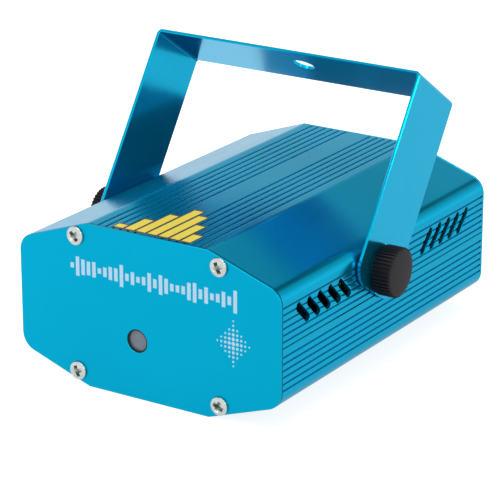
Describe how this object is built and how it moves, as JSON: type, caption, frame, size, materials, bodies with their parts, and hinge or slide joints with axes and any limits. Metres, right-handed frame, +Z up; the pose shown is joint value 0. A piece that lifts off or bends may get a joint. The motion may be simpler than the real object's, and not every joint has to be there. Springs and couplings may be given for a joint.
{
  "type": "party effect light",
  "caption": "Grooved aluminium box light with a round beam window, slanted side vents and a tilting strip bracket held by two knurled knobs.",
  "frame": {"origin": "middle of the flat base of the housing, half way along its length", "axes": "-Y out of the front plate along the beam, +Z up, +X to the right seen from the front"},
  "size_m": [0.1104, 0.1319, 0.0912],
  "materials": {
    "blue_anodised": "blue anodised, satin",
    "bright_zinc": "bright zinc plated",
    "black_plastic": "moulded, matte",
    "brass": "turned",
    "raw_aluminium": "milled",
    "rubber": "matte",
    "window_glass": "clear",
    "clear_plastic": "polished, clear",
    "board_green": "solder mask",
    "red_lens": "tinted, gloss",
    "lead_sleeve": "soft sleeve"
  },
  "bodies": {
    "housing": {"upper_shell": "blue_anodised", "lower_shell": "blue_anodised", "front_plate": "blue_anodised", "rear_plate": "blue_anodised", "front_plate_screw_upper_right": "bright_zinc", "front_plate_screw_upper_left": "bright_zinc", "front_plate_screw_lower_right": "bright_zinc", "front_plate_screw_lower_left": "bright_zinc", "rear_plate_screw_upper_right": "bright_zinc", "rear_plate_screw_upper_left": "bright_zinc", "rear_plate_screw_lower_right": "bright_zinc", "rear_plate_screw_lower_left": "bright_zinc", "rivet_nut_right": "bright_zinc", "rivet_nut_left": "bright_zinc", "motor_mount_screw_right": "bright_zinc", "motor_mount_screw_left": "bright_zinc", "laser_block_screw_front": "bright_zinc", "laser_block_screw_rear": "bright_zinc", "board_screw_front_right": "bright_zinc", "board_screw_rear_right": "bright_zinc", "board_screw_front_left": "bright_zinc", "board_screw_rear_left": "bright_zinc", "fan_screw_upper": "bright_zinc", "fan_screw_lower": "bright_zinc", "mode_switch": "bright_zinc", "dc_jack": "black_plastic", "speed_control": "black_plastic", "fan_frame": "black_plastic", "tripod_nut": "brass", "green_laser_module": "brass", "red_laser_module": "brass", "board_post_front_right": "brass", "board_post_rear_right": "brass", "board_post_front_left": "brass", "board_post_rear_left": "brass", "laser_block": "raw_aluminium", "motor_mount": "raw_aluminium", "grating_motor": "raw_aluminium", "microphone": "raw_aluminium", "friction_washer_right": "rubber", "friction_washer_left": "rubber", "window_glass": "window_glass", "beam_combiner": "clear_plastic", "circuit_board": "board_green", "indicator_light": "red_lens", "laser_lead": "lead_sleeve", "motor_lead": "lead_sleeve", "fan_lead": "lead_sleeve"},
    "bracket": {"bracket": "blue_anodised"},
    "right_washer": {"clamp_washer_right": "bright_zinc"},
    "right_knob": {"clamp_knob_right": "black_plastic", "clamp_stud_right": "bright_zinc"},
    "left_washer": {"clamp_washer_left": "bright_zinc"},
    "left_knob": {"clamp_knob_left": "black_plastic", "clamp_stud_left": "bright_zinc"},
    "grating": {"grating_wheel": "clear_plastic", "motor_shaft": "bright_zinc"},
    "fan": {"fan_rotor": "black_plastic"},
    "switch": {"mode_slider": "black_plastic"},
    "dial": {"speed_knob": "black_plastic"}
  },
  "joints": [
    {"name": "bracket_tilt", "type": "hinge", "parent": "housing", "child": "bracket", "pos_m": [0, -0.0075, 0.035], "axis": [1, 0, 0], "range_deg": [-26, 125]},
    {"name": "right_clamp_travel", "type": "slide", "parent": "housing", "child": "right_washer", "axis": [1, 0, 0], "range_m": [0, 0.0014]},
    {"name": "right_clamp_turn", "type": "hinge", "parent": "right_washer", "child": "right_knob", "pos_m": [0, -0.0075, 0.035], "axis": [1, 0, 0], "range_deg": [0, 720]},
    {"name": "left_clamp_travel", "type": "slide", "parent": "housing", "child": "left_washer", "axis": [-1, 0, 0], "range_m": [0, 0.0014]},
    {"name": "left_clamp_turn", "type": "hinge", "parent": "left_washer", "child": "left_knob", "pos_m": [0, -0.0075, 0.035], "axis": [-1, 0, 0], "range_deg": [0, 720]},
    {"name": "grating_spin", "type": "hinge", "parent": "housing", "child": "grating", "pos_m": [-0.00375, -0.0473, 0.02995], "axis": [0, 1, 0], "continuous": true},
    {"name": "fan_spin", "type": "hinge", "parent": "housing", "child": "fan", "pos_m": [0.0275, 0.0563, 0.026], "axis": [0, 1, 0], "continuous": true},
    {"name": "mode_switch_slide", "type": "slide", "parent": "housing", "child": "switch", "axis": [1, 0, 0], "range_m": [-0.002, 0.002]},
    {"name": "speed_dial_turn", "type": "hinge", "parent": "housing", "child": "dial", "pos_m": [0.0008, 0.0615, 0.0163], "axis": [0, -1, 0], "range_deg": [-135, 135]}
  ],
  "couplings": [
    {"joint": "right_clamp_turn", "follows": "right_clamp_travel", "rad_per_m": 8976},
    {"joint": "left_clamp_turn", "follows": "left_clamp_travel", "rad_per_m": 8976}
  ]
}
